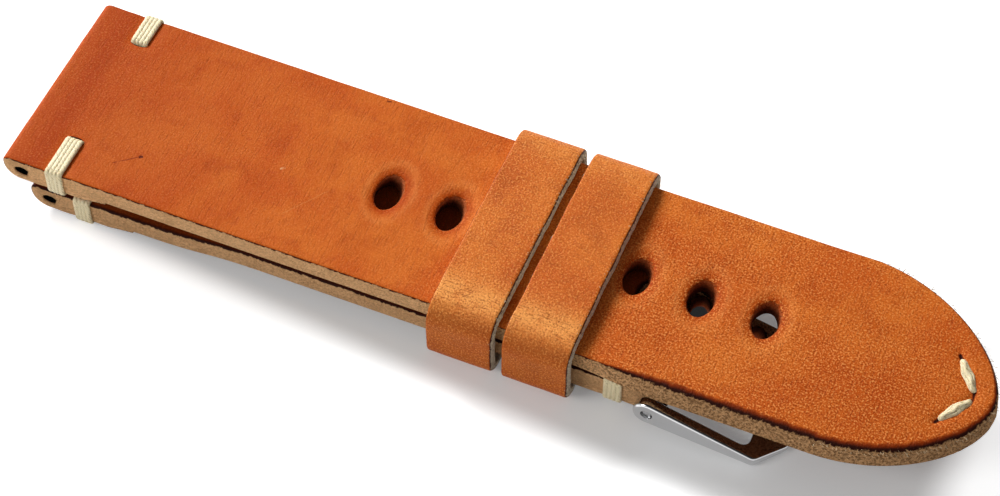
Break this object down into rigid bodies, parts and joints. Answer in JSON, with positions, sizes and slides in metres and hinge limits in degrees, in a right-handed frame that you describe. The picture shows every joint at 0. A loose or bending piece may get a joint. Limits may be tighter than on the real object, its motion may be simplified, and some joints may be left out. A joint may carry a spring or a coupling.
{
  "type": "leather watch strap",
  "caption": "Leather watch strap laid flat as stored, with sewn lug folds, oval tongue holes, leather keepers and a steel tang buckle on a sprung bar.",
  "frame": {"origin": "axis of the long half's spring bar bore, half way across the strap", "axes": "+X along the strap towards its tip, +Y across it to the far side along the bore, +Z from the flesh side up to the grain side"},
  "size_m": [0.1085, 0.0274, 0.009],
  "materials": {
    "grain_leather": "satin",
    "keeper_leather": "satin",
    "waxed_thread": "waxed",
    "polished_steel": "polished",
    "bar_steel": "satin"
  },
  "bodies": {
    "short_half": {"short_strap": "grain_leather", "short_lug_stitch_near": "waxed_thread", "short_lug_stitch_far": "waxed_thread", "buckle_stitch_near": "waxed_thread", "buckle_stitch_far": "waxed_thread", "fixed_keeper": "keeper_leather", "fixed_keeper_seam": "waxed_thread", "bar_tube": "bar_steel", "bar_spring": "bar_steel"},
    "long_half": {"long_strap": "grain_leather", "long_lug_stitch_near": "waxed_thread", "long_lug_stitch_far": "waxed_thread", "tip_stitch_near": "waxed_thread", "tip_stitch_far": "waxed_thread"},
    "free_loop": {"free_keeper": "keeper_leather", "free_keeper_seam": "waxed_thread"},
    "frame": {"buckle_frame": "polished_steel"},
    "tongue": {"buckle_tongue": "polished_steel"},
    "pin_near": {"bar_pin_near": "bar_steel"},
    "pin_far": {"bar_pin_far": "bar_steel"}
  },
  "joints": [
    {"name": "long_half_draw", "type": "slide", "parent": "short_half", "child": "long_half", "axis": [-1, 0, 0], "range_m": [0, 0.05]},
    {"name": "free_keeper_slide", "type": "slide", "parent": "short_half", "child": "free_loop", "axis": [1, 0, 0], "range_m": [-0.0338, 0.0009]},
    {"name": "frame_hinge", "type": "hinge", "parent": "short_half", "child": "frame", "pos_m": [0.0733, 0, -0.0027], "axis": [0, -1, 0], "range_deg": [-120, 3]},
    {"name": "tongue_hinge", "type": "hinge", "parent": "frame", "child": "tongue", "pos_m": [0.0733, 0, -0.0027], "axis": [0, -1, 0], "range_deg": [0, 6]},
    {"name": "pin_near_press", "type": "slide", "parent": "short_half", "child": "pin_near", "axis": [0, 1, 0], "range_m": [0, 0.0013], "stiffness_N_per_m": 1500, "springref_m": -0.001, "deforming": ["bar_spring"]},
    {"name": "pin_far_press", "type": "slide", "parent": "short_half", "child": "pin_far", "axis": [0, -1, 0], "range_m": [0, 0.0013], "stiffness_N_per_m": 1500, "springref_m": -0.001, "deforming": ["bar_spring"]}
  ]
}
